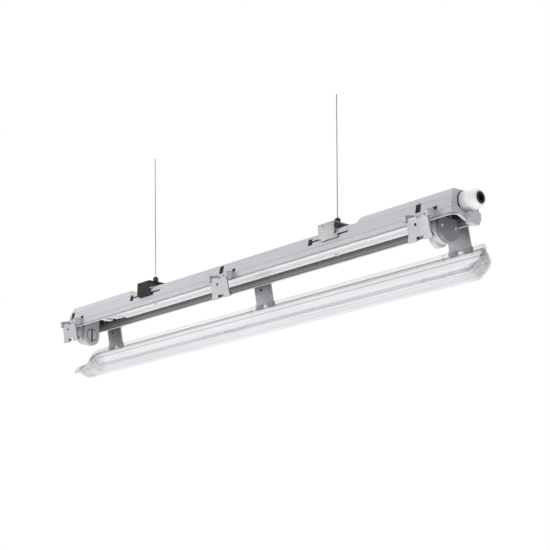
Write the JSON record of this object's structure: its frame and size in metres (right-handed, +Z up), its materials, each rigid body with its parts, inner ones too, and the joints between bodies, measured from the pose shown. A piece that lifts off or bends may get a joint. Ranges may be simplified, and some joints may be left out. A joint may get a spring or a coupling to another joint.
{
  "type": "hanging shop light",
  "caption": "Slim sealed trough lamp for a straight tube, hung on two thin wires, its clear cover let down and tilted on side clips.",
  "frame": {"origin": "midway between the two hanging wires, level with the tops of the two wire grippers", "axes": "+X along the housing towards the cable gland, +Z up, -Y towards the side whose clips hang loose"},
  "size_m": [0.6842, 0.0686, 0.257],
  "materials": {
    "housing_grey": "satin",
    "seal_pale": "matt",
    "tray_white": "satin",
    "screw_steel": "satin",
    "block_white": "satin",
    "brass": "satin",
    "lead_red": "satin",
    "holder_grey": "satin",
    "holder_back_grey": "satin",
    "rotor_grey": "gloss",
    "clip_steel": "satin",
    "cover_clear": "clear gloss",
    "bracket_steel": "bright",
    "gripper_dark": "satin",
    "wire_steel": "bright",
    "gland_white": "satin",
    "seal_black": "matt"
  },
  "bodies": {
    "housing": {"housing": "housing_grey", "gasket": "seal_pale", "gear_tray": "tray_white", "tray_screws": "screw_steel", "terminal_block": "block_white", "terminal_screws": "brass", "wire_clamp": "block_white", "leads_left": "lead_red", "leads_right": "lead_red", "lampholder_left_body": "holder_grey", "lampholder_left_contacts": "brass", "lampholder_left_back": "holder_back_grey", "lampholder_left_rivets": "screw_steel", "lampholder_right_body": "holder_grey", "lampholder_right_contacts": "brass", "lampholder_right_back": "holder_back_grey", "lampholder_right_rivets": "screw_steel", "gland_body": "gland_white", "gland_washer": "seal_black", "gland_locknut": "gland_white", "gland_seal": "seal_black"},
    "rotor_left": {"lampholder_left_rotor": "rotor_grey"},
    "rotor_right": {"lampholder_right_rotor": "rotor_grey"},
    "near_clip_left": {"near_clip_left": "clip_steel"},
    "near_clip_middle": {"near_clip_middle": "clip_steel"},
    "near_clip_right": {"near_clip_right": "clip_steel"},
    "far_clip_middle": {"far_clip_middle": "clip_steel"},
    "far_clip_left": {"far_clip_left": "clip_steel"},
    "far_clip_right": {"far_clip_right": "clip_steel"},
    "cover": {"cover": "cover_clear"},
    "bracket_left": {"bracket_left": "bracket_steel", "gripper_left": "gripper_dark", "gripper_nut_left": "screw_steel", "wire_left": "wire_steel"},
    "plunger_left": {"plunger_left": "gripper_dark"},
    "bracket_right": {"bracket_right": "bracket_steel", "gripper_right": "gripper_dark", "gripper_nut_right": "screw_steel", "wire_right": "wire_steel"},
    "plunger_right": {"plunger_right": "gripper_dark"},
    "gland_nut": {"gland_dome_nut": "gland_white"}
  },
  "joints": [
    {"name": "lamp_rotor_left", "type": "hinge", "parent": "housing", "child": "rotor_left", "pos_m": [-0.296, 0, -0.0502], "axis": [1, 0, 0], "range_deg": [0, 90]},
    {"name": "lamp_rotor_right", "type": "hinge", "parent": "housing", "child": "rotor_right", "pos_m": [0.296, 0, -0.0502], "axis": [1, 0, 0], "range_deg": [0, 90]},
    {"name": "near_clip_left_slide", "type": "slide", "parent": "housing", "child": "near_clip_left", "axis": [0, -0.1908, 0.9816], "range_m": [0, 0.0125]},
    {"name": "near_clip_middle_slide", "type": "slide", "parent": "housing", "child": "near_clip_middle", "axis": [0, -0.1908, 0.9816], "range_m": [0, 0.0125]},
    {"name": "near_clip_right_slide", "type": "slide", "parent": "housing", "child": "near_clip_right", "axis": [0, -0.1908, 0.9816], "range_m": [0, 0.0125]},
    {"name": "far_clip_middle_slide", "type": "slide", "parent": "housing", "child": "far_clip_middle", "axis": [0, -0.1736, 0.9848], "range_m": [0, 0.018]},
    {"name": "far_clip_left_slide", "type": "slide", "parent": "housing", "child": "far_clip_left", "axis": [0, -0.1736, 0.9848], "range_m": [0, 0.018]},
    {"name": "far_clip_right_slide", "type": "slide", "parent": "housing", "child": "far_clip_right", "axis": [0, -0.1736, 0.9848], "range_m": [0, 0.018]},
    {"name": "cover_swing", "type": "hinge", "parent": "far_clip_middle", "child": "cover", "pos_m": [0.006, 0.03013, -0.06093], "axis": [1, 0, 0], "range_deg": [-43, 0]},
    {"name": "bracket_left_slide", "type": "slide", "parent": "housing", "child": "bracket_left", "axis": [1, 0, 0], "range_m": [-0.012, 0.012]},
    {"name": "plunger_left_press", "type": "slide", "parent": "bracket_left", "child": "plunger_left", "axis": [0, 0, -1], "range_m": [0, 0.001], "stiffness_N_per_m": 300, "springref_m": -0.001},
    {"name": "bracket_right_slide", "type": "slide", "parent": "housing", "child": "bracket_right", "axis": [1, 0, 0], "range_m": [-0.012, 0.012]},
    {"name": "plunger_right_press", "type": "slide", "parent": "bracket_right", "child": "plunger_right", "axis": [0, 0, -1], "range_m": [0, 0.001], "stiffness_N_per_m": 300, "springref_m": -0.001},
    {"name": "gland_nut_turn", "type": "hinge", "parent": "housing", "child": "gland_nut", "pos_m": [0.348, 0, -0.0255], "axis": [1, 0, 0], "continuous": true}
  ],
  "couplings": [
    {"joint": "far_clip_left_slide", "follows": "far_clip_middle_slide", "ratio": 1},
    {"joint": "far_clip_right_slide", "follows": "far_clip_middle_slide", "ratio": 1}
  ]
}
